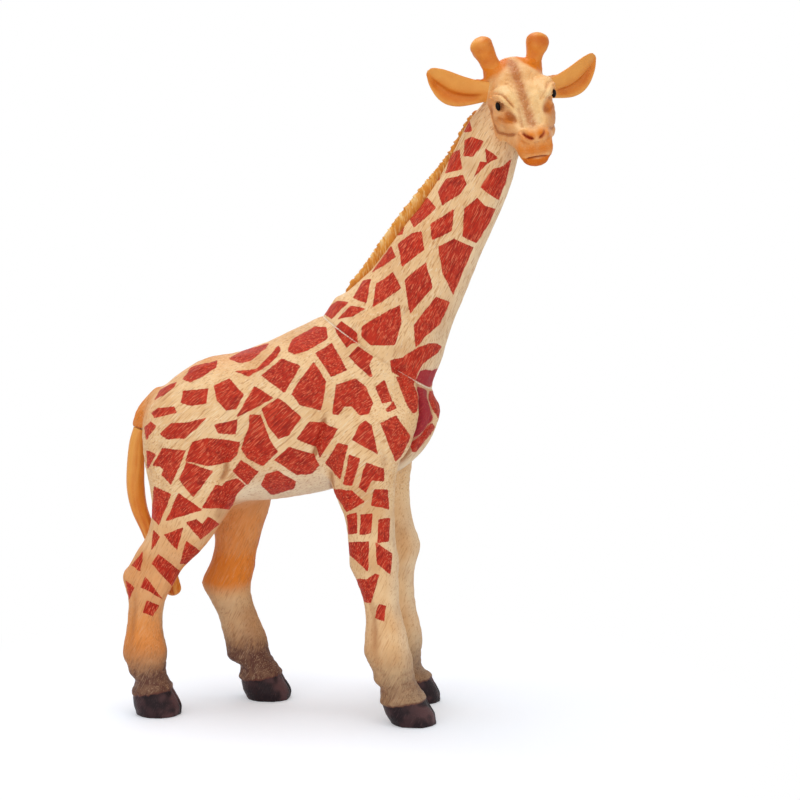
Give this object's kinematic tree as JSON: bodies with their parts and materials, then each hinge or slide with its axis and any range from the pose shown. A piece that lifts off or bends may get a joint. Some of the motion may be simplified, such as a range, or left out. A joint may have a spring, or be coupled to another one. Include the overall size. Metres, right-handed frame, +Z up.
{
  "type": "toy giraffe figure",
  "caption": "Standing toy giraffe with hollow body halves, a glued long neck, a turned head with plugged ears and horns, a hair comb mane and a tail that swivels.",
  "frame": {"origin": "middle of the bounding box in x and y, at the height of the hoof soles", "axes": "+Z up, +X the way the body faces, +Y to the giraffe's left"},
  "size_m": [0.136, 0.0388, 0.1932],
  "materials": {
    "printed_cream": "satin moulded plastic with a fine hair grain, cream with brick red giraffe patches, grey-brown lower legs and dark brown hooves",
    "mane_ochre": "satin moulded plastic, ochre orange",
    "head_cream": "satin moulded plastic, warm cream shaded orange at the nose and lips",
    "orange": "satin moulded plastic, orange with deeper recesses",
    "eye_black": "glossy black"
  },
  "bodies": {
    "body": {"body_right_half": "printed_cream", "body_left_half": "printed_cream", "neck": "printed_cream", "mane": "mane_ochre", "head": "head_cream", "ear_right": "orange", "ear_left": "orange", "horn_right": "orange", "horn_left": "orange", "eye_right": "eye_black", "eye_left": "eye_black"},
    "tail": {"tail": "orange"}
  },
  "joints": [
    {"name": "tail_swivel", "type": "hinge", "parent": "body", "child": "tail", "pos_m": [-0.0635, 0.00021, 0.08152], "axis": [0.342, 0, 0.9397], "range_deg": [-5, 60]}
  ]
}
